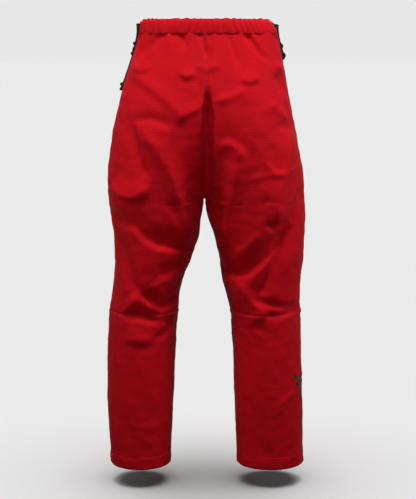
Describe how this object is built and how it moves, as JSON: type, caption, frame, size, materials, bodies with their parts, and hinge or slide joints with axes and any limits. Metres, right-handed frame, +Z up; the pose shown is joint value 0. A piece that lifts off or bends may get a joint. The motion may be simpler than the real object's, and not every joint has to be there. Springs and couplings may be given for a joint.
{
  "type": "drawstring trousers",
  "caption": "Red ripstop cotton martial-arts trousers with a gathered drawstring waist, reinforced knees and stitched hems.",
  "frame": {"origin": "centre of the waist opening at its top edge", "axes": "+Z up out of the waist, +Y towards the wearer's back, +X towards the wearer's left"},
  "size_m": [0.4248, 0.2472, 0.955],
  "materials": {
    "red_ripstop": "matt cotton ripstop weave",
    "red_thread": "polyester sewing thread",
    "black_webbing": "matt cotton tape",
    "black_cord": "braided polyester rope",
    "black_embroidery": "satin-stitch embroidery"
  },
  "bodies": {
    "trousers": {"waistband_casing": "red_ripstop", "waistband_facing": "red_ripstop", "left_front_panel": "red_ripstop", "left_back_panel": "red_ripstop", "right_front_panel": "red_ripstop", "right_back_panel": "red_ripstop", "left_crotch_patch": "red_ripstop", "right_crotch_patch": "red_ripstop", "left_lower_front": "red_ripstop", "left_lower_back": "red_ripstop", "right_lower_front": "red_ripstop", "right_lower_back": "red_ripstop", "left_hem": "red_ripstop", "right_hem": "red_ripstop", "left_knee_patch": "red_ripstop", "right_knee_patch": "red_ripstop", "left_buttonhole": "red_thread", "right_buttonhole": "red_thread", "left_belt_loop": "black_webbing", "right_belt_loop": "black_webbing", "drawcord": "black_cord", "calf_badge": "black_embroidery"},
    "left_drawcord_end": {"left_cord_upper": "black_cord", "left_cord_lower": "black_cord", "left_stopper_knot": "black_cord", "left_end_knot": "black_cord"},
    "right_drawcord_end": {"right_cord": "black_cord", "right_end_knot": "black_cord"}
  },
  "joints": [
    {"name": "left_drawcord_swing", "type": "hinge", "parent": "trousers", "child": "left_drawcord_end", "pos_m": [0.1445, -0.014, -0.013], "axis": [0, -1, 0], "range_deg": [0, 85]},
    {"name": "right_drawcord_swing", "type": "hinge", "parent": "trousers", "child": "right_drawcord_end", "pos_m": [-0.1465, -0.014, -0.015], "axis": [0, 1, 0], "range_deg": [0, 85]}
  ]
}
